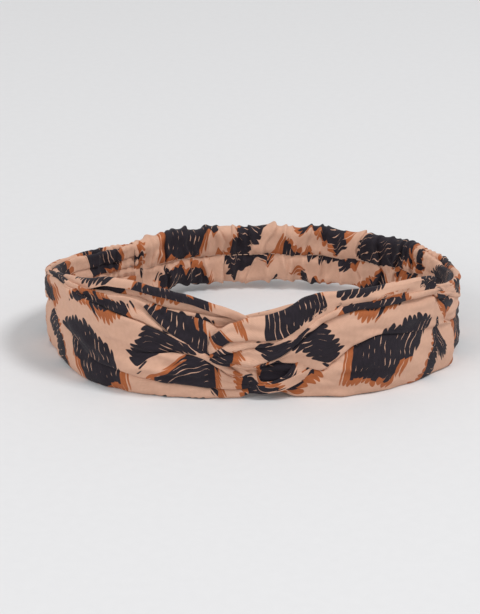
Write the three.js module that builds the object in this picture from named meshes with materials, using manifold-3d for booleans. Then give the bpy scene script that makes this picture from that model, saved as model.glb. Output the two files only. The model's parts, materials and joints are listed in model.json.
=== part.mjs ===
// A twisted headband of printed cloth: two front bands, folded round each other at the knot,
// and a gathered casing at the back with a flat elastic inside.
// Millimetres, +Z up. X runs along the ring's long way, and -Y is the front, where the knot is.
// The origin is under the middle of the ring, on the surface that it stands on.
import * as THREE from "three";
import { mergeVertices } from "three/addons/utils/BufferGeometryUtils.js";
import Module from "manifold-3d";

// ---- Driving dimensions ----
const halfWidth = 84; // the ring's middle line, centre to side
const frontDepth = 54; // the ring's middle line, centre to knot
const backDepth = 62.5; // the ring's middle line, centre to the back
const clearance = 0.3; // between pieces that touch

const elasticWidth = 20;
const elasticThickness = 1.3;
const elasticTail = 8; // length sewn between a band's layers at each end

const threadDiameter = 0.4;
const stitchPitch = 2.5;
const zigzagWidth = 2;
const seamInset = 3; // from the casing's end to the row through casing, band and elastic
const tackInset = 6.5; // from the casing's end to the zigzag

const bandThickness = 8; // both layers of a folded band
const tongueThickness = 1; // each layer, pressed flat where it is sewn in
const tongueLength = 9; // sewn into the casing
const leftBandLength = 170; // from the middle of the knot to the casing, along the ring
const rightBandLength = 152;

const casingWall = 1.05;
const casingHem = 1.5; // cloth above and below the tunnel
const casingLift = 4; // the gathers hang clear of the surface
const tunnelPlay = 1; // above and below the elastic

const knotHeight = 35;
const knotLift = 1.5;
const leftCheekHeight = 50; // where each band spreads widest
const rightCheekHeight = 47.5;
const cheekDistance = 56; // from the middle of the knot, along the ring
const leftSideHeight = 35;
const rightSideHeight = 42;
const sideDistance = 112;

const pinRadius = 4.5; // the left band's bend, which the right band goes round
const bendPlay = 0.7; // round the left band's bend, inside the right one
const loopThickness = 3.8; // one layer of the right band at the knot
const loopStart = -17; // the right band's bend, past the middle of the knot
const loopPlay = 0.5; // above and below the right band's bend
const overLoop = 7; // height of the left band's part above the right band's bend
const underLoop = 4.5; // height of its part below
const crotchPlay = 5; // from the right band's bend to where the left band divides
const loopFlare = 16; // where the right band has grown to the knot's full height
const loopSpread = 34; // where the right band's two layers have come together

const step = 3; // between the points of a long outline
const arcSteps = 8; // points in a half-round bend
const overcut = 1; // past a face that a cut goes through

// ---- Sizes that follow ----
const layerGap = elasticThickness + 2 * clearance;
const bandHalf = bandThickness / 2;
const tongueIn = layerGap / 2;
const tongueOut = tongueIn + tongueThickness;
const threadRise = clearance + threadDiameter / 2; // from a face to the middle of a thread on it
const tunnelHalf = tongueOut + 2 * threadRise;
const casingHalf = tunnelHalf + casingWall;
const tunnelBottom = casingLift + casingHem;
const elasticBottom = tunnelBottom + tunnelPlay;
const elasticTop = elasticBottom + elasticWidth;
const tunnelTop = elasticTop + tunnelPlay;
const casingTop = tunnelTop + casingHem;
const middleHeight = (elasticBottom + elasticTop) / 2;
const slotHalf = pinRadius + bendPlay;
const loopHalf = slotHalf + loopThickness;
const loopBottom = knotLift + underLoop + loopPlay;
const loopTop = knotHeight - overLoop - loopPlay;
const bendMiddle = loopStart + loopHalf;
const crotchAt = loopStart - crotchPlay;

// The ring's middle line, as shares of its width and depths, from the knot towards +X.
const ringShape = [
  [0, -1], [0.34, -0.99], [0.6, -0.9], [0.87, -0.59], [1, -0.16], [0.975, 0.305],
  [0.82, 0.68], [0.505, 0.915], [0.145, 1], [-0.24, 0.965], [-0.58, 0.73],
  [-0.855, 0.475], [-0.99, 0.135], [-0.975, -0.2], [-0.82, -0.63], [-0.6, -0.9], [-0.34, -1],
];
const ring = new THREE.CatmullRomCurve3(
  ringShape.map(([x, y]) =>
    new THREE.Vector3(x * halfWidth, y * (y < 0 ? frontDepth : backDepth), 0)),
  true,
);
ring.arcLengthDivisions = 800;
const ringLength = ring.getLength();
const casingStart = rightBandLength;
const casingEnd = ringLength - leftBandLength;

// ---- Along the ring ----

// The point at a distance along the ring from the knot, and out from its middle line.
function onRing(along, out) {
  const share = THREE.MathUtils.euclideanModulo(along / ringLength, 1);
  const point = ring.getPointAt(share);
  const way = ring.getTangentAt(share);
  return new THREE.Vector2(point.x + way.y * out, point.y - way.x * out);
}

// A value that eases from one named height to the next along the ring.
function eased(stations, along) {
  const next = stations.findIndex(([at]) => at >= along);
  if (next === 0) return stations[0][1];
  if (next < 0) return stations.at(-1)[1];
  const [a, low] = stations[next - 1];
  const [b, high] = stations[next];
  return THREE.MathUtils.lerp(low, high, THREE.MathUtils.smoothstep(along, a, b));
}

// Distances from one place on the ring to another, about a step apart.
function stretch(from, to) {
  const count = Math.max(1, Math.round(Math.abs(to - from) / step));
  return Array.from({ length: count + 1 }, (_, i) => from + ((to - from) * i) / count);
}

// The outline of a strip between two distances along the ring and two distances out from it.
function stripOutline(from, to, inner, outer) {
  return [
    ...stretch(from, to).map((s) => [s, outer(s)]),
    ...stretch(to, from).map((s) => [s, inner(s)]),
  ];
}

// The outline of a hairpin: a strip whose start is half round.
function hairpinOutline(middle, to, half) {
  const bend = Array.from({ length: arcSteps - 1 }, (_, i) => {
    const turn = (Math.PI * (i + 1)) / arcSteps;
    const radius = half(middle);
    return [middle - radius * Math.sin(turn), -radius * Math.cos(turn)];
  });
  return [...stripOutline(middle, to, (s) => -half(s), half), ...bend];
}

// ---- Solids ----
const wasm = await Module();
wasm.setup();

function toSolid(geometry) {
  geometry.deleteAttribute("normal");
  geometry.deleteAttribute("uv");
  const merged = mergeVertices(geometry, 1e-4);
  return new wasm.Manifold(new wasm.Mesh({
    numProp: 3,
    vertProperties: merged.attributes.position.array,
    triVerts: new Uint32Array(merged.index.array),
  }));
}

// An outline in ring distances, made a wall that stands from one height to another.
function wall(outline, bottom, top) {
  const corners = outline.map(([along, out]) => ({ along, at: onRing(along, out) }));
  const shape = new THREE.Shape(corners.map(({ at }) => at));
  const geometry = new THREE.ExtrudeGeometry(shape, { depth: 1, bevelEnabled: false });
  const position = geometry.getAttribute("position");
  for (let i = 0; i < position.count; i++) {
    const here = new THREE.Vector2(position.getX(i), position.getY(i));
    const { along } = corners.reduce((best, corner) =>
      corner.at.distanceToSquared(here) < best.at.distanceToSquared(here) ? corner : best);
    position.setZ(i, position.getZ(i) < 0.5 ? bottom(along) : top(along));
  }
  return toSolid(geometry);
}

function strip(from, to, inner, outer, bottom, top) {
  const level = (value) => () => value;
  return wall(stripOutline(from, to, level(inner), level(outer)), level(bottom), level(top));
}

// A band's two layers where they are sewn in, with the elastic's tail between them.
function tongue(from, to) {
  const inner = strip(from, to, -tongueOut, -tongueIn, elasticBottom, elasticTop);
  return inner.add(strip(from, to, tongueIn, tongueOut, elasticBottom, elasticTop));
}

function leftBand() {
  const end = -leftBandLength + clearance / 2;
  const top = (s) => eased([
    [end, casingTop], [-sideDistance, leftSideHeight], [-cheekDistance, leftCheekHeight],
    [crotchAt, knotHeight],
  ], s);
  const bottom = (s) => eased([
    [end, casingLift], [-sideDistance, 0], [crotchAt - bandThickness, 0], [crotchAt, knotLift],
  ], s);
  const body = wall(stripOutline(end, 0, () => -bandHalf, () => bandHalf), bottom, top);
  const windowHalf = bandHalf + overcut;
  const window = strip(
    crotchAt, pinRadius, -windowHalf, windowHalf, loopBottom - loopPlay, loopTop + loopPlay);
  const between = strip(end - overcut, crotchAt - bandThickness, -layerGap / 2, layerGap / 2,
    -overcut, leftCheekHeight + overcut);
  const bend = new THREE.CylinderGeometry(pinRadius, pinRadius, knotHeight - knotLift, 3 * arcSteps);
  bend.rotateX(Math.PI / 2);
  const knot = onRing(0, 0);
  bend.translate(knot.x, knot.y, (knotHeight + knotLift) / 2);
  return body.subtract(window).subtract(between).add(toSolid(bend))
    .add(tongue(-leftBandLength - tongueLength, end + bandHalf));
}

function rightBand() {
  const end = rightBandLength - clearance / 2;
  const top = (s) => eased([
    [pinRadius, loopTop], [loopFlare, knotHeight], [cheekDistance, rightCheekHeight],
    [sideDistance, rightSideHeight], [end, casingTop],
  ], s);
  const bottom = (s) => eased([
    [pinRadius, loopBottom], [loopFlare, 0], [sideDistance, 0], [end, casingLift],
  ], s);
  const outside = (s) => eased([[loopFlare, loopHalf], [loopSpread, bandHalf]], s);
  const inside = (s) => eased([[loopFlare, slotHalf], [loopSpread, layerGap / 2]], s);
  const body = wall(hairpinOutline(bendMiddle, end, outside), bottom, top);
  const between = wall(hairpinOutline(bendMiddle, end + overcut, inside),
    () => -overcut, () => rightCheekHeight + overcut);
  return body.subtract(between).add(tongue(end - bandHalf, rightBandLength + tongueLength));
}

function casing() {
  const from = casingStart + clearance / 2;
  const to = casingEnd - clearance / 2;
  const sleeve = strip(from, to, -casingHalf, casingHalf, casingLift, casingTop);
  return sleeve.subtract(
    strip(from - overcut, to + overcut, -tunnelHalf, tunnelHalf, tunnelBottom, tunnelTop));
}

function elastic() {
  return strip(casingStart - elasticTail, casingEnd + elasticTail,
    -elasticThickness / 2, elasticThickness / 2, elasticBottom, elasticTop);
}

// A sewing thread through points given as distance along the ring, distance out and height.
function thread(points, steps) {
  const path = new THREE.CatmullRomCurve3(points.map(([along, out, height]) => {
    const { x, y } = onRing(along, out);
    return new THREE.Vector3(x, y, height);
  }));
  const section = new THREE.Shape().absarc(0, 0, threadDiameter / 2, 0, 2 * Math.PI);
  return toSolid(new THREE.ExtrudeGeometry(section, { extrudePath: path, steps, curveSegments: 3 }));
}

// Points up the height of the elastic, a stitch apart, swung to and fro along the ring.
function stitchRow(along, out, swing) {
  const count = Math.floor((elasticWidth - stitchPitch) / stitchPitch);
  const low = middleHeight - (count * stitchPitch) / 2;
  return Array.from({ length: count + 1 }, (_, i) =>
    [along + (i % 2 ? swing : -swing), out, low + i * stitchPitch]);
}

function stitching(along, out, swing) {
  const row = stitchRow(along, out, swing);
  return thread(row, 3 * (row.length - 1));
}

// A long seam's thread, level along the ring.
function longSeam(from, to, out) {
  const row = stretch(from, to).map((s) => [s, out, middleHeight]);
  return thread(row, row.length - 1);
}

// ---- The headband ----
const printedCloth = new THREE.MeshStandardMaterial({ color: "#cfa68c", roughness: 0.8, metalness: 0 });
const elasticKnit = new THREE.MeshStandardMaterial({ color: "#e8e4dc", roughness: 0.9, metalness: 0 });
const sewingThread = new THREE.MeshStandardMaterial({ color: "#c49a80", roughness: 0.7, metalness: 0 });

const headband = new THREE.Group();

function addPiece(name, solid, material) {
  const { numProp, numVert, vertProperties, triVerts } = solid.getMesh();
  const position = new Float32Array(numVert * 3);
  for (let i = 0; i < numVert; i++) {
    position.set(vertProperties.subarray(i * numProp, i * numProp + 3), i * 3);
  }
  const geometry = new THREE.BufferGeometry();
  geometry.setAttribute("position", new THREE.BufferAttribute(position, 3));
  geometry.setIndex(new THREE.BufferAttribute(triVerts, 1));
  geometry.computeVertexNormals();
  const mesh = new THREE.Mesh(geometry, material);
  mesh.name = name;
  headband.add(mesh);
}

addPiece("front_band_left", leftBand(), printedCloth);
addPiece("front_band_right", rightBand(), printedCloth);
addPiece("elastic_casing", casing(), printedCloth);
addPiece("elastic_strip", elastic(), elasticKnit);

// The rows at each end of the casing: through casing, band and elastic, and inside it the
// zigzag that tacks the elastic to the band.
const onCasing = casingHalf + threadRise;
const onTongue = tongueOut + threadRise;
const seams = [["left", casingEnd, -1], ["right", casingStart, 1]];
for (const [side, edge, inwards] of seams) {
  const seamRow = edge + inwards * seamInset;
  const tackRow = edge + inwards * tackInset;
  addPiece(`seam_thread_${side}_outer`, stitching(seamRow, onCasing, threadDiameter), sewingThread);
  addPiece(`seam_thread_${side}_inner`, stitching(seamRow, -onCasing, threadDiameter), sewingThread);
  addPiece(`elastic_tack_${side}`, stitching(tackRow, onTongue, zigzagWidth / 2), sewingThread);
}

// The long seams that close the casing and each band into a tube.
const casingSeamFrom = casingStart + tongueLength + clearance;
const casingSeamTo = casingEnd - tongueLength - clearance;
addPiece("casing_seam_thread", longSeam(casingSeamFrom, casingSeamTo, -onTongue), sewingThread);
addPiece("band_seam_thread_right",
  longSeam(loopSpread + bandThickness, casingStart - elasticTail - clearance, 0), sewingThread);
addPiece("band_seam_thread_left",
  longSeam(casingEnd + elasticTail + clearance, ringLength + crotchAt - 2 * bandThickness, 0),
  sewingThread);

// The origin goes under the middle of the finished ring.
const box = new THREE.Box3().setFromObject(headband);
const middle = box.getCenter(new THREE.Vector3());
headband.position.set(-middle.x, -middle.y, -box.min.z);

export default headband;
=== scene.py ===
"""A twisted cloth headband: two printed bands folded round each other, and a gathered elastic back."""

import json
import math

import bmesh
import bpy
import numpy as np
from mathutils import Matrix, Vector


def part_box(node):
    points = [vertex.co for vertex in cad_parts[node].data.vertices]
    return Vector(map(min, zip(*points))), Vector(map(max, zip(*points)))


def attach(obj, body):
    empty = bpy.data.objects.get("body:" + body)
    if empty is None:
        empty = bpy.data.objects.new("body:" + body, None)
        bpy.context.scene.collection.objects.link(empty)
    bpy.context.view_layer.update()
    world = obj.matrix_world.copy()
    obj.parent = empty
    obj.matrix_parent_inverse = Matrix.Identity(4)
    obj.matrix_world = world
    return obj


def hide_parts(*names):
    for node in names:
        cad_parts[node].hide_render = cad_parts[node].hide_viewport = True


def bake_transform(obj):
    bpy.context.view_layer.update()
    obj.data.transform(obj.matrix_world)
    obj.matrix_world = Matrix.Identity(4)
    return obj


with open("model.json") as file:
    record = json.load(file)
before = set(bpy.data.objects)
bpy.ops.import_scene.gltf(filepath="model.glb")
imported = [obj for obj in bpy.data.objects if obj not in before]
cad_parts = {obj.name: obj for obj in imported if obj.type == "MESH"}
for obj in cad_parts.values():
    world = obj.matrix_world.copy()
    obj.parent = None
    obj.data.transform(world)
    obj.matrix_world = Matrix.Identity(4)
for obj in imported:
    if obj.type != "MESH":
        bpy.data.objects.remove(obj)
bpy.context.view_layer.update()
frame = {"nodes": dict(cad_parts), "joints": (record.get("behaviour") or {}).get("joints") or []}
scene = bpy.context.scene
MM = 0.001

# ---- The ring, in millimetres, as the construction has it ----
RING_SHAPE = [
    (0, -1), (0.34, -0.99), (0.6, -0.9), (0.87, -0.59), (1, -0.16), (0.975, 0.305),
    (0.82, 0.68), (0.505, 0.915), (0.145, 1), (-0.24, 0.965), (-0.58, 0.73),
    (-0.855, 0.475), (-0.99, 0.135), (-0.975, -0.2), (-0.82, -0.63), (-0.6, -0.9), (-0.34, -1),
]
HALF_WIDTH = 84
FRONT_DEPTH = 54
BACK_DEPTH = 62.5
LEFT_BAND = 170  # from the middle of the knot to the casing
RIGHT_BAND = 152
hinge = Vector(frame["joints"][0]["pos_m"]) / MM  # the middle of the knot


def closed_curve(points, steps):
    """A centripetal Catmull-Rom curve through points that close on themselves."""
    points = np.array(points, float)
    pieces = []
    for i in range(len(points)):
        p = [points[(i + k) % len(points)] for k in (-1, 0, 1, 2)]
        knots = np.cumsum([0] + [math.sqrt(np.linalg.norm(p[k + 1] - p[k])) for k in range(3)])
        t = np.linspace(knots[1], knots[2], steps, endpoint=False)[:, None]

        def mix(a, b, start, end):
            return ((end - t) * a + (t - start) * b) / (end - start)

        a = [mix(p[k], p[k + 1], knots[k], knots[k + 1]) for k in range(3)]
        b = [mix(a[k], a[k + 1], knots[k], knots[k + 2]) for k in range(2)]
        pieces.append(mix(b[0], b[1], knots[1], knots[2]))
    return np.concatenate(pieces)


middle_line = closed_curve(
    [(x * HALF_WIDTH, y * (FRONT_DEPTH if y < 0 else BACK_DEPTH)) for x, y in RING_SHAPE], 60)
middle_line += np.array([hinge.x, hinge.y + FRONT_DEPTH])
gaps = np.linalg.norm(np.roll(middle_line, -1, axis=0) - middle_line, axis=1)
along_line = np.concatenate([[0], np.cumsum(gaps)])
RING = along_line[-1]


def on_ring(along, out, height):
    """Points in metres, from millimetres along the ring, out from its middle line and up."""
    along, out, height = np.broadcast_arrays(along, out, height)
    closed = np.vstack([middle_line, middle_line[:1]])

    def at(distance):
        return [np.interp(distance % RING, along_line, closed[:, k]) for k in (0, 1)]

    x, y = at(along)
    ahead, behind = at(along + 1.5), at(along - 1.5)
    way = np.stack([ahead[0] - behind[0], ahead[1] - behind[1]])
    way /= np.linalg.norm(way, axis=0)
    return np.stack([x + way[1] * out, y - way[0] * out, height], axis=-1) * MM


def keyed(*keys):
    """A smooth line through (place, value) keys, level past its ends, with no overshoot."""
    x, y = (np.array(column, float) for column in zip(*keys))
    slope = np.diff(y) / np.diff(x)
    tangent = np.zeros(len(x))
    same_way = slope[:-1] * slope[1:] > 0
    inner = np.zeros(len(x) - 2)
    inner[same_way] = 2 * slope[:-1][same_way] * slope[1:][same_way] / (
        slope[:-1][same_way] + slope[1:][same_way])
    tangent[1:-1] = inner

    def value(at):
        at = np.clip(at, x[0], x[-1])
        i = np.clip(np.searchsorted(x, at, side="right") - 1, 0, len(x) - 2)
        span = x[i + 1] - x[i]
        t = (at - x[i]) / span
        return ((1 + 2 * t) * (1 - t) ** 2 * y[i] + t * (1 - t) ** 2 * span * tangent[i]
                + t * t * (3 - 2 * t) * y[i + 1] - t * t * (1 - t) * span * tangent[i + 1])

    return value


def ease(t):
    """0 to 1, starting and ending gently, and level outside."""
    t = np.clip(t, 0, 1)
    return t * t * (3 - 2 * t)


# ---- Folded cloth ----
SAMPLES = 4  # across each span of a section


def b_spline(controls, samples=SAMPLES):
    """Points on a cubic B-spline through rows of control values, from its first to its last."""
    controls = np.concatenate([controls[:1], controls[:1], controls, controls[-1:], controls[-1:]])
    spans = len(controls) - 3
    at = np.linspace(0, spans, spans * samples + 1)
    i = np.minimum(at.astype(int), spans - 1)
    t = (at - i).reshape(-1, *[1] * (controls.ndim - 1))
    weights = ((1 - t) ** 3 / 6, (3 * t ** 3 - 6 * t * t + 4) / 6,
               (-3 * t ** 3 + 3 * t * t + 3 * t + 1) / 6, t ** 3 / 6)
    return sum(w * controls[i + k] for k, w in enumerate(weights))


# A pleat's section, going up: the lower fold dives behind, turns, and comes out as the upper one.
# Each point is (share of lap up, millimetres up, share of depth in, millimetres out).
PLEAT = ((0, -2.4, 0, 0.1), (0.15, -0.2, 0.75, 0), (1, 0, 1, 0), (1, 0.4, 0.5, 0),
         (0.1, -0.4, 0.35, 0), (0, -1.5, 0.1, 0.2), (0, -0.5, 0, 0.9), (0, 1.6, 0, 0.7))
HEM_ROLL = ((6.5, -3.2), (3.0, -3.4), (0.5, -2.8), (-0.3, -1.0), (0.9, 0.1))


def pleat(height, out, depth, lap, amount, upper_in_front=True):
    """Control points of one pleat, from flat (amount 0) to fully folded (1)."""
    rows = []
    order = PLEAT if upper_in_front else PLEAT[::-1]
    turn = 1 if upper_in_front else -1
    for i, (lap_up, up, depth_in, outward) in enumerate(order):
        flat_up = 0.55 * (i - (len(PLEAT) - 1) / 2)
        folded_up = turn * (lap_up * lap + up)
        rows.append((height + (1 - amount) * flat_up + amount * folded_up,
                     out + amount * (outward - depth_in * depth)))
    return rows


def section(bottom, top, outs, creases, roll=1.0, crown=1.2):
    """Control points of a folded layer, from its lower turned edge to its upper one.

    creases: (height, depth, lap, amount, upper_in_front), upwards. outs: a fold's place outwards.
    """
    rows = [(bottom + roll * up, outs[0] + roll * out) for up, out in HEM_ROLL]
    low = bottom + 1.6 * roll
    for i, (height, depth, lap, amount, upper_in_front) in enumerate(creases):
        rows += swell(low, height - 2.4, outs[i], crown)
        between = (outs[i] + outs[i + 1]) / 2
        rows += pleat(height, between, depth, lap, amount, upper_in_front)
        low = height + 1.9
    rows += swell(low, top - 1.6 * roll, outs[-1], crown)
    rows += [(top - roll * up, outs[-1] + roll * out) for up, out in reversed(HEM_ROLL)]
    return np.stack([np.stack([np.broadcast_to(v, np.shape(top)) for v in row]) for row in rows])


def swell(low, high, out, crown):
    """Two points between two heights, crowned outwards where the fold is wide."""
    rise = crown * ease((high - low) / 12)
    return [(low + share * (high - low), out + rise) for share in (0.3, 0.7)]


def layer(along, rows):
    """Grid of points (columns, rows, 3), in millimetres: along, out, up."""
    spline = b_spline(rows)  # (samples, 2, columns)
    height, out = spline[:, 0].T, spline[:, 1].T
    return np.stack([np.broadcast_to(along[:, None], height.shape), out, height], axis=-1)


def turn(first, last, reach, columns, height=0, squeeze=lambda up: 0):
    """Columns of a U-turn from one column to another, reaching past them and drawn to a height."""
    t = np.linspace(0, 1, columns + 2)[1:-1, None, None]
    handle = np.zeros_like(first)
    handle[:, 0] = reach
    bend = ((1 - t) ** 3 * first + 3 * t * (1 - t) ** 2 * (first + handle)
            + 3 * t * t * (1 - t) * (last + handle) + t ** 3 * last)
    drawn = 1 - squeeze(bend[..., 2]) * (4 * t[..., 0] * (1 - t[..., 0])) ** 1.3
    bend[..., 2] = height + (bend[..., 2] - height) * drawn
    return bend


def ripples(seed, waves, height):
    """Slack in the cloth: a smooth random wave over two directions, each wave (length, width) in mm."""
    rng = np.random.default_rng(seed)
    parts = [(2 * math.pi * rng.normal(0, 1) / length, 2 * math.pi * rng.normal(0, 1) / width,
              rng.uniform(0, 2 * math.pi)) for length, width in waves for _ in range(6)]

    def value(a, b):
        return height * sum(np.sin(a * p + b * q + r) for p, q, r in parts) / math.sqrt(len(parts))

    return value


def slack(grid, seed, end, height=0.4):
    """The grid with its cloth a little uneven, and gathered where it goes into the casing at end."""
    wave = ripples(seed, [(26, 14), (14, 9)], height)
    grid = grid.copy()
    along, out, up = grid[..., 0], grid[..., 1], grid[..., 2]
    side = np.where(np.arange(len(grid)) < len(grid) * 0.55, 1, -1)[:, None]
    rng = np.random.default_rng(seed)
    gathers = 0
    for place in end - math.copysign(1, end) * np.arange(1, 22, 2.9):
        line = place + rng.uniform(-0.8, 0.8) + 1.1 * np.sin(up / rng.uniform(3, 6) + rng.uniform(0, 6.3))
        gathers += rng.uniform(0.8, 2.0) * ease((25 - abs(place - end)) / 14) * (
            1 + ((along - line) / 0.8) ** 2) ** -1.4
    grid[..., 1] += wave(along + 40 * side, up) + side * gathers
    return grid


def cloth(name, grid, material, thickness=0.45):
    """A sheet of cloth from a grid of ring points in millimetres, with its flat lengths as its UV map."""
    points = on_ring(grid[..., 0], grid[..., 1], grid[..., 2])
    columns, rows = points.shape[:2]
    across = np.linalg.norm(np.diff(points, axis=1), axis=2)
    across = np.concatenate([np.zeros((columns, 1)), np.cumsum(across, axis=1)], axis=1)
    across -= across[:, -1:] / 2
    length = np.median(np.linalg.norm(np.diff(points, axis=0), axis=2), axis=1)
    length = np.concatenate([[0], np.cumsum(length)])
    mesh = bmesh.new()
    bmesh.ops.create_grid(mesh, x_segments=columns - 1, y_segments=rows - 1, size=1)
    flat = mesh.loops.layers.uv.new("flat")
    mesh.verts.ensure_lookup_table()
    place = {}
    for v in mesh.verts:
        i = round((v.co.x + 1) / 2 * (columns - 1))
        j = round((v.co.y + 1) / 2 * (rows - 1))
        place[v] = (i, j)
    for v, (i, j) in place.items():
        v.co = points[i, j]
    for face in mesh.faces:
        face.smooth = True
        for loop in face.loops:
            i, j = place[loop.vert]
            loop[flat].uv = (length[i], across[i, j])
    data = bpy.data.meshes.new(name)
    mesh.to_mesh(data)
    mesh.free()
    data.materials.append(material)
    piece = bpy.data.objects.new(name, data)
    scene.collection.objects.link(piece)
    wall = piece.modifiers.new("thickness", "SOLIDIFY")
    wall.thickness = thickness * MM
    wall.offset = 0
    return piece


# ---- The bands ----
def left_band_grid():
    """The left band: its folded front, the turn beside the knot and its softer inner layer.

    low, lip, mid and high are the heights of its folds' lines, from the casing to the knot.
    """
    s = np.concatenate([
        np.arange(-LEFT_BAND - 5, -148, 0.7), np.arange(-148, -60, 1.6), np.arange(-60, -4, 1.0),
        np.arange(-4, 6, 0.5), np.arange(6, 28.1, 1.0)])
    bottom = keyed(
        (-170, 4), (-150, 3), (-125, 1), (-110, 0.3), (-18, 0.3), (-6, 0.5), (-2, 2.2), (1, 3.4),
        (6, 3.7), (12, 5), (19, 8), (24, 10), (28, 13))
    low = keyed(
        (-170, 9), (-140, 11), (-115, 19), (-104, 25), (-98, 25.5), (-92, 23), (-84, 19.8), (-77, 17),
        (-70, 13.6), (-62, 11), (-52, 11), (-45, 9.5), (-37, 8.2), (-21, 6.8), (-15, 6), (-5, 5),
        (2, 4.8), (8, 5.6), (12, 6.6), (19, 10), (24, 12.5), (28, 15))
    low_amount = keyed(
        (-170, 0.8), (-130, 0.3), (-110, 0.3), (-97, 0.9), (-84, 1), (-76, 0.4), (-70, 0.05),
        (-62, 0.5), (-50, 1), (-15, 1), (-5, 0.7), (2, 0), (28, 0))
    mid = keyed(
        (-170, 15.5), (-140, 18), (-120, 25), (-105, 33), (-95, 35.5), (-88, 36.2), (-80, 36),
        (-70, 35), (-60, 33.6), (-52, 32), (-46, 31), (-40, 29), (-35, 26.5), (-29, 24), (-23, 21),
        (-19, 18.5), (-14, 15.5), (-8, 12.4), (-1, 10), (0.8, 9), (3, 4.8), (8, 5.4), (12, 7), (19, 11),
        (24, 13.5), (28, 16))
    lip = keyed(
        (-170, 12.2), (-140, 14.5), (-104, 29), (-84, 28), (-64, 22), (-52, 20), (-40, 18.6),
        (-30, 18.6), (-26, 18), (-20, 16.8), (-17, 14.6), (-8, 9), (0.8, 7), (3, 5.2), (8, 5.6),
        (19, 10.4), (28, 15))
    lip_amount = keyed(
        (-170, 0), (-50, 0), (-40, 0.45), (-30, 0.9), (-18, 1), (-10, 0.4), (0, 0), (28, 0))
    mid_amount = keyed(
        (-170, 0.8), (-130, 0.3), (-105, 0.6), (-90, 1), (-19, 1), (-8, 0.5), (0, 0), (28, 0))
    high = keyed(
        (-170, 21), (-140, 23), (-120, 28), (-105, 34.3), (-95, 36.6), (-88, 37.6), (-76, 38),
        (-60, 38.2), (-50, 39.3), (-43, 38.2), (-38, 34), (-32.5, 29), (-26.5, 24.6), (-21, 21),
        (-17, 18.7), (-12, 17), (-8, 16), (-1, 14.2), (0.8, 13), (2.6, 7), (4, 6), (8, 6.6), (12, 8.6),
        (19, 14), (24, 16.5), (28, 18.5))
    high_amount = keyed(
        (-170, 0.7), (-130, 0.2), (-60, 0.1), (-46, 0.1), (-40, 0.8), (-34, 1), (-19, 1), (-8, 0.4),
        (0, 0), (28, 0))
    top = keyed(
        (-170, 27.5), (-140, 29), (-125, 31), (-110, 34), (-95, 37.6), (-87, 38.6), (-76, 39),
        (-64, 40), (-55, 41), (-46, 41), (-40, 39), (-32, 36.6), (-24, 34.2), (-18, 32), (-14, 29),
        (-10, 25), (-5, 21), (-1, 19), (0.8, 17), (2.2, 10), (3.6, 7.8), (8, 7.8), (12.5, 10.2),
        (15, 13.5), (19, 18), (24, 20), (28, 21))
    out = keyed(
        (-175, 0.8), (-170, 1.2), (-160, 2.4), (-100, 2.6), (-80, 3.2), (-60, 4), (-20, 4.8), (-8, 4.8),
        (0, 5.8), (8, 7), (15, 6.8), (22, 4.5), (28, 2.5))
    high_out = keyed(
        (-170, 0), (-90, -0.4), (-60, -1.9), (-30, -1.8), (-14, -2), (-4, -1.8), (2, 0), (28, 0))
    low_out = keyed((-170, 0), (-120, -0.4), (-98, -2.2), (-88, -2.0), (-66, 0), (28, 0))
    low_depth = keyed((-170, 3), (-110, 3), (-97, 3.8), (-84, 3.6), (-70, 3.2), (28, 3.2))
    n = out(s)
    roll = keyed((-170, 0.7), (-20, 1), (2, 0.45), (28, 0.45))(s)
    front = section(
        bottom(s), top(s), [n + low_out(s), n + 0.3, n, n - 0.2, n + high_out(s)],
        [(low(s), low_depth(s), 3.5, low_amount(s), True),
         (lip(s), 2.4, 2.2, lip_amount(s), False),
         (mid(s), 3.2, 3.0, mid_amount(s), False),
         (high(s), 3.4, 3.2, high_amount(s), True)], roll)
    back_s = np.concatenate([np.arange(-LEFT_BAND - 5, -148, 0.7), np.arange(-148, -60, 2.4),
                             np.arange(-60, 24.1, 1.6)])[::-1]
    back_top = keyed(
        (-170, 28), (-150, 27.8), (-135, 29.5), (-125, 30.5), (-110, 34), (-90, 38.6), (-69, 43.5),
        (-58.5, 46.8), (-48.5, 47.5), (-39, 46), (-27, 43.5), (-15.5, 39.5), (-6.5, 35.8), (-2, 33.5),
        (5, 31), (14, 28), (24, 24))
    back_bottom = keyed(
        (-170, 4), (-120, 1.5), (-60, 2), (-35, 3), (-20, 8), (-8, 15), (5, 19), (24, 16))
    b = back_bottom(back_s)
    t = back_top(back_s)
    back_n = -keyed(
        (-175, 0.8), (-170, 1.2), (-160, 2.4), (-120, 2.6), (-85, 1.6), (-60, -0.3), (-30, -1.1),
        (-12, -0.9), (10, 1), (24, 1.5))(back_s)
    soft = keyed((-170, 0.45), (-140, 0.3), (-100, 0.45), (-60, 0.15), (-30, 0.6), (24, 0.3))(back_s)
    back = section(b, t, [-back_n] * 5, [
        (b + share * (t - b), 2.2, 2.2, soft, share > 0.5) for share in (0.22, 0.4, 0.6, 0.78)],
        keyed((-170, 0.8), (-80, 0.75), (-55, 0.5), (24, 0.5))(back_s))
    back[:, 1] *= -1
    ahead = pulled(layer(s, front), -14, 11, (-0.02, 0.12, 0.3), 66)
    behind = layer(back_s, back)
    return slack(np.concatenate([ahead, turn(ahead[-1], behind[0], 7, 10), behind]), 3, -LEFT_BAND)


def pressed_corner(grid):
    """The end of the front, where the folds were pressed flat: each ends in a crisp upright edge."""
    s, z = grid[..., 0], grid[..., 2]
    past = s - (89 - 6.5 * ease((z - 19) / 3) - 6.5 * ease((z - 36.5) / 1.5))
    before = 1.8 * np.exp(np.minimum(past, 0) / 7)
    after = np.maximum(past, 0)
    grid = grid.copy()
    deep = 3.4 + 1.6 * ease((z - 34) / 3)
    grid[..., 1] += before * np.exp(-after / 0.7) - deep * (1 - np.exp(-after)) * np.exp(-after / 12)
    return grid


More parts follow.
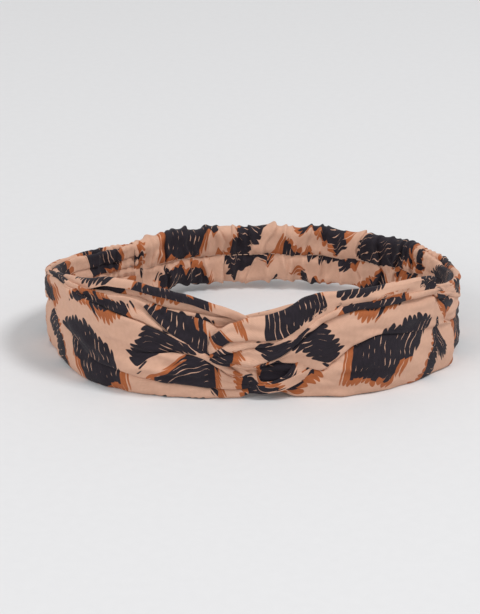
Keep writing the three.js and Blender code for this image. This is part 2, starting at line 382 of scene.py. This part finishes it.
def pulled(grid, knot, height, slopes, reach):
    """The front of a band, with faint folds that spread along it from where the knot pulls it."""
    grid = grid.copy()
    away = np.abs(grid[..., 0] - knot)
    shown = ease(away / 10) * ease((reach - away) / (reach * 0.6))
    for slope in slopes:
        offset = grid[..., 2] - height - slope * away - 1.5 * np.sin(away / 13 + 20 * slope)
        grid[..., 1] += 0.75 * shown * np.exp(-(offset / (0.9 + 0.022 * away)) ** 2)
    return grid


def right_band_grid():
    """The right band: its folded front, the loop of the knot and its softer inner layer.

    low, mid, roll_low and roll_high are the heights of its folds' lines, from the knot to the casing.
    """
    nose = -9  # where the loop of the knot turns
    s = np.concatenate([
        np.arange(RIGHT_BAND + 5, 132, -0.7), np.arange(132, 98, -1.6), np.arange(98, 68, -0.7),
        np.arange(68, nose - 0.1, -1.0)])
    bottom = keyed(
        (nose, 14.0), (-3, 10), (1, 4.2), (7, 2.8), (12, 1.9), (18, 0.4), (95, 0.3), (110, 0.8),
        (130, 2), (152, 4))
    low = keyed(
        (nose, 16.2), (-3.5, 15), (2.5, 15), (11, 17.3), (17.5, 17), (21.5, 15.2), (26.5, 13.8),
        (32, 18), (40, 24), (48, 26.5), (55, 24.8), (63, 23), (84, 21), (100, 16), (130, 12), (152, 10))
    low_amount = keyed(
        (nose, 0), (0, 0.2), (8, 0.8), (15, 1), (44, 1), (54, 0.5), (66, 0.2), (86, 0.15), (110, 0.3),
        (152, 0.8))
    mid = keyed(
        (nose, 17), (-3.5, 16.4), (2.5, 17.6), (7.5, 19), (13, 22), (17, 25.4), (22.5, 31),
        (27.5, 34.5), (34.5, 37.5), (41, 38.6), (64, 38.4), (75.4, 37.4), (77.6, 34.4), (90, 30),
        (110, 22), (130, 17), (152, 15))
    mid_amount = keyed((nose, 0.5), (-3, 1), (75, 1), (80, 0.4), (110, 0.2), (152, 0.8))
    roll_low = keyed(
        (nose, 22), (-5, 23.6), (0.5, 24.2), (5.5, 23.8), (10, 24.4), (13, 25.8), (17, 28.5),
        (22.5, 34), (30, 39), (41, 41), (64, 41), (75.4, 40), (77.6, 35.6), (90, 32), (110, 25),
        (152, 19))
    roll_low_amount = keyed((nose, 0.8), (-3, 0.7), (4, 0.5), (9, 0), (152, 0))
    roll_high = keyed(
        (nose, 27), (-1, 28.2), (5.5, 27.8), (12, 28), (18, 31), (22.5, 36), (30, 41), (41, 42.8),
        (64, 43), (75.4, 41.8), (77.6, 36.6), (90, 33.4), (110, 28), (152, 23))
    roll_high_amount = keyed((nose, 1), (5, 0.9), (14, 0.5), (20, 0), (110, 0), (152, 0.6))
    top = keyed(
        (nose, 33), (-2.5, 35.5), (6, 36.8), (14.5, 40), (21, 44), (29, 45.6), (61, 45.6), (72, 44.6),
        (75.4, 43.8), (77.6, 37.8), (83, 36.4), (95, 34), (109, 32), (124, 29.8), (139, 28.8),
        (152, 28.5))
    out = keyed(
        (nose, 7.5), (-3, 8.6), (5, 8.8), (12, 8.2), (20, 7.2), (30, 6.2), (45, 5), (60, 3.8),
        (80, 2.4), (142, 2.4), (152, 1.2), (157, 0.8))
    low_out = keyed((nose, -4), (0, -5.2), (14, -4.2), (26, -2.2), (36, -0.6), (50, 0), (152, 0))
    mid_out = keyed((nose, -0.5), (10, -0.8), (24, -0.2), (40, 0), (152, 0))
    n = out(s)
    roll = keyed((nose, 0.8), (20, 1), (110, 1), (152, 0.7))(s)
    front = section(
        bottom(s), top(s), [n + low_out(s), n + mid_out(s), n, n, n],
        [(low(s), 3.2, 3.0, low_amount(s), True),
         (mid(s), 3.4, 3.2, mid_amount(s), True),
         (roll_low(s), 1.9, 1.4, roll_low_amount(s), True),
         (roll_high(s), 2.2, 1.6, roll_high_amount(s), True)], roll)
    back_s = np.concatenate([s[s < 132][::-2], s[s >= 132][::-1]])
    back_top = keyed(
        (nose, 30), (0, 32), (14, 36), (30, 40.5), (50, 41), (70, 38.5), (78, 36), (95, 33.5),
        (109, 31.5), (139, 28.5), (152, 28.5))
    back_bottom = keyed((nose, 14), (0, 8), (14, 2), (30, 0.3), (110, 0.8), (130, 2), (152, 4))
    b = back_bottom(back_s)
    t = back_top(back_s)
    back_n = keyed(
        (nose, 6.5), (10, 6.2), (30, 4.4), (60, 3), (142, 2.4), (152, 1.2), (157, 0.8))(back_s)
    soft = keyed((nose, 0.6), (30, 0.5), (60, 0.15), (110, 0.35), (152, 0.45))(back_s)
    back = section(b, t, [back_n] * 5, [
        (b + share * (t - b), 2.2, 2.0, soft, share > 0.5) for share in (0.25, 0.42, 0.6, 0.78)], 0.8)
    back[:, 1] *= -1
    ahead = pulled(pressed_corner(layer(s, front)), 24, 12, (-0.12, 0.06, 0.2), 62)
    behind = layer(back_s, back)
    bend = turn(ahead[-1], behind[0], -12.3, 22, 16.5, lambda up: 0.86 - 0.36 * ease((up - 25) / 7))
    return slack(np.concatenate([ahead, bend, behind]), 8, RIGHT_BAND)


# ---- The casing ----
CASING_LOW, CASING_HIGH = 4.0, 29.0
CASING_HALF = 3.0  # half its thickness between the folds
CASING_COLUMNS = 331  # along it
CASING_ROWS = 141  # round it


def casing_grid():
    """A tube of cloth gathered on the elastic, from its inside seam up, round and back to the seam."""
    rng = np.random.default_rng(21)
    start, end = RIGHT_BAND, RING - LEFT_BAND
    s = np.linspace(start - 0.6, end + 0.6, CASING_COLUMNS)[:, None]
    straight = (CASING_HIGH - CASING_LOW) / 2 - CASING_HALF
    hem = math.pi * CASING_HALF
    around = 4 * straight + 2 * hem
    tuck = 2.0
    q = np.linspace(-tuck, around + tuck, CASING_ROWS)[None, :]
    middle = (CASING_LOW + CASING_HIGH) / 2
    # the flat tube: inner face up, top hem, outer face down, bottom hem, inner face up
    up = np.clip(q, 0, straight) + np.clip(q - 3 * straight - 2 * hem, 0, straight) - straight * (
        q > 2 * straight + hem)
    top_turn = np.clip((q - straight) / CASING_HALF, 0, math.pi)
    low_turn = np.clip((q - 3 * straight - hem) / CASING_HALF, 0, math.pi)
    down = np.clip(q - straight - hem, 0, 2 * straight)
    angle = top_turn + low_turn  # 0 facing the head, pi facing away
    face_out, face_up = -np.cos(angle), np.sin(angle)
    height = np.where(q < straight + hem, middle + np.clip(q, 0, straight), middle + straight - down)
    height = np.where(q > 3 * straight + 2 * hem, middle - straight + q - 3 * straight - 2 * hem, height)
    height = np.minimum(height, np.where(q > around / 2, middle + straight, 99))
    # gathers: lines of pinched cloth that wander round the tube
    places = [start + 1.5]
    while places[-1] < end - 3:
        near_end = min(places[-1] - start, end - places[-1])
        places.append(places[-1] + (rng.uniform(2.4, 3.6) if near_end < 16 else rng.uniform(3.4, 7.4)))
    fold = np.zeros((len(s), q.shape[1]))
    lean = np.zeros_like(fold)
    for place in places:
        near_end = min(place - start, end - place)
        line = place + sum(
            rng.uniform(-1, 1) * 1.5 * np.sin(q * 2 * math.pi / length + rng.uniform(0, 6.3))
            for length in (17, 26, 41)) * ease(near_end / 14)
        strength = 0.35 + 0.65 * ease(0.5 + 0.9 * sum(
            rng.uniform(-1, 1) * np.sin(q * 2 * math.pi / length + rng.uniform(0, 6.3))
            for length in (13, 23)))
        size = rng.uniform(1.2, 3.1) if near_end > 16 else rng.uniform(1.5, 2.4)
        width = rng.uniform(0.7, 1.15)
        ridge = size * strength * (1 + ((s - line) / width) ** 2) ** -1.4
        lean += rng.uniform(-0.9, 0.9) * ridge
        fold = np.maximum(fold, ridge) + 0.35 * np.minimum(fold, ridge)
    billow = ripples(5, [(22, 20), (12, 16)], 0.55)(s, q)
    seam_near = np.exp(-(np.minimum(np.abs(q), np.abs(q - around)) / 1.6) ** 2)
    rise = (fold + billow) * (1 - 0.6 * seam_near) - 0.7 * seam_near
    rise -= 2.2 * np.clip(np.maximum(-q, q - around), 0, 2)
    ends = ease(np.minimum(s - start, end - s) / 7)
    rise = rise * (0.5 + 0.5 * ends) - 0.9 * (1 - ends)
    out = face_out * (CASING_HALF + rise)
    up = height + face_up * (CASING_HALF + rise * 0.62)
    wave = ripples(9, [(16, 200)], 0.55)(s, q)
    grid = np.stack([s + lean * ends, out, up + wave], axis=-1)

    def rows(low, high):
        return np.flatnonzero((q[0] >= low) & (q[0] <= high))

    faces = {"seam": rows(0, 99)[:1], "outer": rows(straight + hem + 2, 3 * straight + hem - 2),
             "inner": np.concatenate([rows(around - straight + 2, around), rows(0, straight - 2)])}
    return grid, faces


# ---- Materials ----
class Wire:
    """A node's output; sums with it make math nodes."""

    def __init__(self, socket):
        self.socket = socket

    def math(self, kind, *values):
        return make(self.socket.id_data, "ShaderNodeMath", {"operation": kind}, dict(enumerate(values)))

    def __add__(self, other):
        return self.math("ADD", self, other)

    def __sub__(self, other):
        return self.math("SUBTRACT", self, other)

    def __rsub__(self, other):
        return self.math("SUBTRACT", other, self)

    def __mul__(self, other):
        return self.math("MULTIPLY", self, other)

    def __truediv__(self, other):
        return self.math("DIVIDE", self, other)

    __radd__, __rmul__ = __add__, __mul__

    def rise(self, low, high):
        """0 below low, 1 above high, smooth between."""
        return make(self.socket.id_data, "ShaderNodeMapRange", {"interpolation_type": "SMOOTHSTEP"},
                    {"Value": self, "From Min": low, "From Max": high})


def make(tree, kind, settings=None, inputs=None, output=0):
    """A node of that kind: its settings first, then its inputs, from wires or plain values."""
    node = tree.nodes.new(kind)
    for name, value in (settings or {}).items():
        setattr(node, name, value)
    for name, value in (inputs or {}).items():
        if isinstance(value, Wire):
            tree.links.new(value.socket, node.inputs[name])
        else:
            node.inputs[name].default_value = value
    return Wire(node.outputs[output])


def material(name, roughness, **constants):
    """A material with constant values, its node tree and a way to join a wire to its shader."""
    made = bpy.data.materials.new(name)
    made.use_nodes = True
    tree = made.node_tree
    shader = tree.nodes["Principled BSDF"]
    shader.inputs["Roughness"].default_value = roughness
    for key, value in constants.items():
        shader.inputs[key.replace("_", " ")].default_value = value

    def joined(key, wire):
        tree.links.new(wire.socket, shader.inputs[key])

    return made, tree, joined


def blend_colors(tree, share, first, second):
    """The first color where the share is 0, the second where it is 1."""
    node = tree.nodes.new("ShaderNodeMix")
    node.data_type = "RGBA"
    for place, value in ((0, share), (6, first), (7, second)):
        if isinstance(value, Wire):
            tree.links.new(value.socket, node.inputs[place])
        else:
            node.inputs[place].default_value = value if place == 0 else (*value, 1)
    return Wire(node.outputs[2])


def printed_cloth_material():
    """A fine twill with patches of brush strokes: dark, with the ends of some strokes in rust."""
    made, tree, joined = material("printed cloth", 0.78, Sheen_Weight=0.06, Sheen_Roughness=0.5,
                                  Specular_IOR_Level=0.3)

    def node(kind, settings=None, inputs=None, output=0):
        return make(tree, kind, settings, inputs, output)

    def scaled(vector, factor):
        return node("ShaderNodeVectorMath", {"operation": "MULTIPLY"}, {0: vector, 1: factor})

    def noise(vector, scale, detail=2.0, output=0):
        return node("ShaderNodeTexNoise", {"noise_dimensions": "2D"},
                    {"Vector": vector, "Scale": scale, "Detail": detail}, output)

    flat = node("ShaderNodeUVMap", {"uv_map": "flat"})
    mm = scaled(flat, (1000, 1000, 0))
    # a hand's wobble in every line
    wobble = node("ShaderNodeVectorMath", {"operation": "SUBTRACT"},
                  {0: noise(mm, 0.055, 1.0, "Color"), 1: (0.5, 0.5, 0.5)})
    drawn = node("ShaderNodeVectorMath", {"operation": "ADD"}, {0: mm, 1: scaled(wobble, (7, 7, 0))})
    patch_size = (36.0, 30.0, 1.0)
    cell = node("ShaderNodeVectorMath", {"operation": "DIVIDE"}, {0: drawn, 1: patch_size})
    voronoi = {"Vector": cell, "Scale": 1.0, "Randomness": 0.75}
    settings = {"voronoi_dimensions": "2D"}
    center = node("ShaderNodeTexVoronoi", settings, voronoi, "Position")
    chance = node("ShaderNodeTexVoronoi", settings, voronoi, "Color")
    border = settings | {"feature": "DISTANCE_TO_EDGE"}
    edge = node("ShaderNodeTexVoronoi", border, voronoi, "Distance") * 31.0
    pick = node("ShaderNodeSeparateColor", {}, {"Color": chance}, "Red")
    pick_2 = Wire(pick.socket.node.outputs["Green"])
    pick_3 = Wire(pick.socket.node.outputs["Blue"])
    from_center = node("ShaderNodeVectorMath", {"operation": "SUBTRACT"}, {0: cell, 1: center})
    local = scaled(from_center, patch_size)
    turned = node("ShaderNodeVectorRotate", {"rotation_type": "Z_AXIS"},
                  {"Vector": local, "Angle": pick * 6.283})
    x = node("ShaderNodeSeparateXYZ", {}, {"Vector": turned}, "X")
    y = Wire(x.socket.node.outputs["Y"])
    fan = y * (1 + x * (pick_3 - 0.5) * 0.018)
    stroke = fan / 2.3
    number = stroke.math("FLOOR", stroke)
    across = (stroke - number - 0.5).math("ABSOLUTE", stroke - number - 0.5)
    round_end = across * across * 4.0
    luck = node("ShaderNodeTexWhiteNoise", {"noise_dimensions": "2D"},
                {"Vector": node("ShaderNodeCombineXYZ", {}, {"X": number, "Y": pick_2 * 91.7})}, "Color")
    reach = node("ShaderNodeSeparateColor", {}, {"Color": luck}, "Red")
    reach_2 = Wire(reach.socket.node.outputs["Green"])
    reach_3 = Wire(reach.socket.node.outputs["Blue"])
    inside = edge - 2.0 - reach * 2.6 - round_end * 1.5
    painted = inside.rise(0.0, 0.35)
    fringe = x.rise(0.0, 4.0) * (1.6 + reach_2 * 4.2) * pick_3.rise(0.16, 0.24)
    fringe = fringe + (0 - x).rise(4.0, 7.0) * (1.0 + reach_3 * 3.4) * pick_2.rise(0.66, 0.74)
    rust = (fringe - inside - round_end * 1.4).rise(-0.35, 0.0)
    # bare slits between strokes, where the brush didn't meet the one before
    along = node("ShaderNodeCombineXYZ", {}, {"X": x / 5.5, "Y": number * 7.3})
    slit_width = noise(along, 1.0, 1.0).rise(0.54, 0.74) * 0.13
    slit = (across - 0.5 + slit_width).rise(0.0, 0.06)
    ink = painted * (1 - slit * slit_width.rise(0.005, 0.03))
    # the cloth and its inks
    u = node("ShaderNodeSeparateXYZ", {}, {"Vector": mm}, "X")
    v = Wire(u.socket.node.outputs["Y"])
    twill = ((u + v) * 9.2).math("SINE", (u + v) * 9.2)
    thread = ((u - v * 0.6) * 14.0).math("SINE", (u - v * 0.6) * 14.0)
    mottle = noise(mm, 0.6, 4.0)
    ground = blend_colors(tree, mottle, (0.64, 0.372, 0.258), (0.745, 0.447, 0.322))
    dry = noise(scaled(turned, (0.25, 1.6, 1)), 1.0, 3.0)
    rust_ink = blend_colors(tree, dry, (0.35, 0.088, 0.024), (0.50, 0.152, 0.050))
    dark_ink = blend_colors(tree, dry, (0.007, 0.0048, 0.009), (0.024, 0.016, 0.025))
    ink_color = blend_colors(tree, rust, dark_ink, rust_ink)
    printed = blend_colors(tree, ink, ground, ink_color)
    shade = 1.03 - (twill + 1) * 0.05 - (thread + 1) * 0.02
    shaded = node("ShaderNodeVectorMath", {"operation": "SCALE"}, {0: printed, "Scale": shade})
    joined("Base Color", shaded)
    joined("Roughness", 0.72 + mottle * 0.14)
    weave = twill * 0.6 + thread * 0.4
    joined("Normal", node("ShaderNodeBump", {}, {"Strength": 0.45, "Distance": 0.00012, "Height": weave}))
    return made


def knit_material():
    """White woven elastic with lengthwise cords."""
    made, tree, joined = material("elastic knit", 0.8)
    place = make(tree, "ShaderNodeNewGeometry", output="Position")
    z = make(tree, "ShaderNodeSeparateXYZ", {}, {"Vector": place}, "Z")
    cords = (z * 4200.0).math("SINE", z * 4200.0)
    # painted shade: the white is darker in the grooves between the cords, where the bump is low
    white_with_groove_shade = blend_colors(tree, cords * 0.5 + 0.5, (0.58, 0.56, 0.53), (0.76, 0.74, 0.70))
    joined("Base Color", white_with_groove_shade)
    relief = {"Strength": 0.4, "Distance": 0.0002, "Height": cords}
    joined("Normal", make(tree, "ShaderNodeBump", {}, relief))
    return made


def thread_material():
    """Beige sewing thread, a little darker where it twists."""
    made, tree, joined = material("sewing thread", 0.6)
    place = make(tree, "ShaderNodeNewGeometry", output="Position")
    twist = make(tree, "ShaderNodeTexNoise", {}, {"Vector": place, "Scale": 2500.0, "Detail": 1.0})
    joined("Base Color", blend_colors(tree, twist, (0.46, 0.28, 0.20), (0.66, 0.44, 0.33)))
    return made


printed_cloth = printed_cloth_material()
elastic_knit = knit_material()
sewing_thread = thread_material()
for item in frame["nodes"].values():
    item.data.materials.clear()
    item.data.materials.append(elastic_knit if item.name == "elastic_strip" else sewing_thread)

left = cloth("front_band_left_cloth", left_band_grid(), printed_cloth)
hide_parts("front_band_left")
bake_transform(left)
right = cloth("front_band_right_cloth", right_band_grid(), printed_cloth)
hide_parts("front_band_right")
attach(right, "right_half")
casing_points, casing_faces = casing_grid()
casing = cloth("elastic_casing_cloth", casing_points, printed_cloth)
ELASTIC_TAIL = 7.5  # sewn between the layers of each band
strip_low, strip_high = (corner.z / MM for corner in map(Vector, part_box("elastic_strip")))
strip_along = np.linspace(RIGHT_BAND - ELASTIC_TAIL, RING - LEFT_BAND + ELASTIC_TAIL, 120)
strip = np.stack(np.broadcast_arrays(
    strip_along[:, None], 0, np.linspace(strip_low, strip_high, 9)[None, :]), axis=-1)
elastic = cloth("elastic_strip_knit", strip.astype(float), elastic_knit, thickness=1.2)


# ---- Sewing threads, in millimetres ----
THREAD_RADIUS = 0.2
STITCH_PITCH = 2.5
STITCH_GAP = 0.7  # where the thread dives into the cloth
THREAD_LIFT = 0.3  # from the cloth to the middle of a thread on it
CASING_SEAM_IN = 3  # from the casing's end to the stitches across it
BAND_SEAM_HEIGHT = 16.5
BAND_SEAM_START = 44  # from the knot
BAND_SEAM_SHORT = 8  # of the casing


def stitches(node, points):
    """A row of stitches of one thread, along points in millimetres along the ring, out and up."""
    path = on_ring(points[:, 0], points[:, 1], points[:, 2])
    length = np.concatenate([[0], np.cumsum(np.linalg.norm(np.diff(path, axis=0), axis=1))])
    curve = bpy.data.curves.new(node, "CURVE")
    curve.dimensions = "3D"
    curve.bevel_depth = THREAD_RADIUS * MM
    curve.bevel_resolution = 1
    curve.use_fill_caps = True
    for start in np.arange(0.3, length[-1] / MM - STITCH_PITCH + 0.6, STITCH_PITCH):
        spline = curve.splines.new("POLY")
        spline.points.add(4)
        places = np.linspace(start, start + STITCH_PITCH - STITCH_GAP, 5) * MM
        for point, at in zip(spline.points, places):
            point.co = (*(np.interp(at, length, path[:, k]) for k in range(3)), 1)
    drawn = bpy.data.objects.new(node, curve)
    data = bpy.data.meshes.new_from_object(drawn)
    data.name = node + "_stitches"
    bpy.data.objects.remove(drawn)
    data.materials.clear()
    data.materials.append(sewing_thread)
    for face in data.polygons:
        face.use_smooth = True
    piece = bpy.data.objects.new(node + "_stitches", data)
    scene.collection.objects.link(piece)
    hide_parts(node)
    return piece


def across_casing(face, inset, lift):
    """Points up one face of the casing, a little way in from one of its ends."""
    column = np.argmin(np.abs(casing_points[:, CASING_ROWS // 2, 0] - inset))
    return casing_points[column, casing_faces[face]] + np.array([0, lift, 0])


seam_line = casing_points[8:-8, casing_faces["seam"][0]] + np.array([0, -THREAD_LIFT, 0])
casing_thread = stitches("casing_seam_thread", seam_line)
for side, inset in (("right", RIGHT_BAND + CASING_SEAM_IN),
                    ("left", RING - LEFT_BAND - CASING_SEAM_IN)):
    for face, lift in (("outer", THREAD_LIFT), ("inner", -THREAD_LIFT)):
        piece = stitches(f"seam_thread_{side}_{face}", across_casing(face, inset, lift))
        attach(piece, side + "_half")
for side, first, last in (("right", BAND_SEAM_START, RIGHT_BAND - BAND_SEAM_SHORT),
                          ("left", -BAND_SEAM_START, -LEFT_BAND + BAND_SEAM_SHORT)):
    run = np.linspace(first, last, 160)
    inside = np.stack([run, np.zeros_like(run), np.full_like(run, BAND_SEAM_HEIGHT)], axis=-1)
    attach(stitches(f"band_seam_thread_{side}", inside), side + "_half")

# ---- The casing, the elastic and the casing thread: their CAD parts hidden, their places baked ----
right_end, left_end = (Vector(on_ring(at, 0, 0)) for at in (RIGHT_BAND, RING - LEFT_BAND))
for piece, node, name in ((casing, "elastic_casing", "printed_cloth"),
                          (elastic, "elastic_strip", "elastic_knit"),
                          (casing_thread, "casing_seam_thread", "sewing_thread")):
    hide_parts(node)
    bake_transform(piece)


# ---- Floor, lights and camera ----
def stage():
    """A plain pale floor."""
    mesh = bmesh.new()
    bmesh.ops.create_grid(mesh, x_segments=1, y_segments=1, size=3)
    data = bpy.data.meshes.new("floor")
    mesh.to_mesh(data)
    mesh.free()
    floor = bpy.data.objects.new("floor", data)
    scene.collection.objects.link(floor)
    made, tree, joined = material("floor", 0.85)
    place = make(tree, "ShaderNodeNewGeometry", output="Position")
    speckle = make(tree, "ShaderNodeTexNoise", {}, {"Vector": place, "Scale": 220.0, "Detail": 3.0})
    joined("Base Color", blend_colors(tree, speckle, (0.735, 0.735, 0.745), (0.765, 0.765, 0.775)))
    data.materials.append(made)


def lamp(name, place, aim, size, power):
    """A soft square lamp, in metres and watts."""
    light = bpy.data.lights.new(name, "AREA")
    light.size = size
    light.energy = power
    item = bpy.data.objects.new(name, light)
    item.location = place
    item.rotation_euler = (Vector(aim) - Vector(place)).to_track_quat("-Z", "Y").to_euler()
    scene.collection.objects.link(item)


def camera():
    """A long lens, a little above the headband, with the knot towards it."""
    data = bpy.data.cameras.new("camera")
    item = bpy.data.objects.new("camera", data)
    scene.collection.objects.link(item)
    elevation = math.radians(22)
    distance = 0.9
    seen_width = 480 / 2370  # metres across the picture, at the headband
    aim = Vector((-0.0054, -0.0018, 0.0156))
    item.location = aim + distance * Vector((0, -math.cos(elevation), math.sin(elevation)))
    item.rotation_euler = (aim - item.location).to_track_quat("-Z", "Y").to_euler()
    data.sensor_fit = "HORIZONTAL"
    data.sensor_width = 36
    data.lens = data.sensor_width * distance / seen_width
    scene.camera = item


stage()
lamp("key", (1.35, -0.7, 2.4), (0, 0, 0), 0.7, 36)
lamp("fill", (-1.8, -1.6, 1.6), (0, 0, 0), 1.6, 24)
camera()
world = bpy.data.worlds.new("world")
world.use_nodes = True
world.node_tree.nodes["Background"].inputs["Color"].default_value = (1, 1, 1, 1)
world.node_tree.nodes["Background"].inputs["Strength"].default_value = 0.55
scene.world = world
scene.view_settings.view_transform = "Standard"
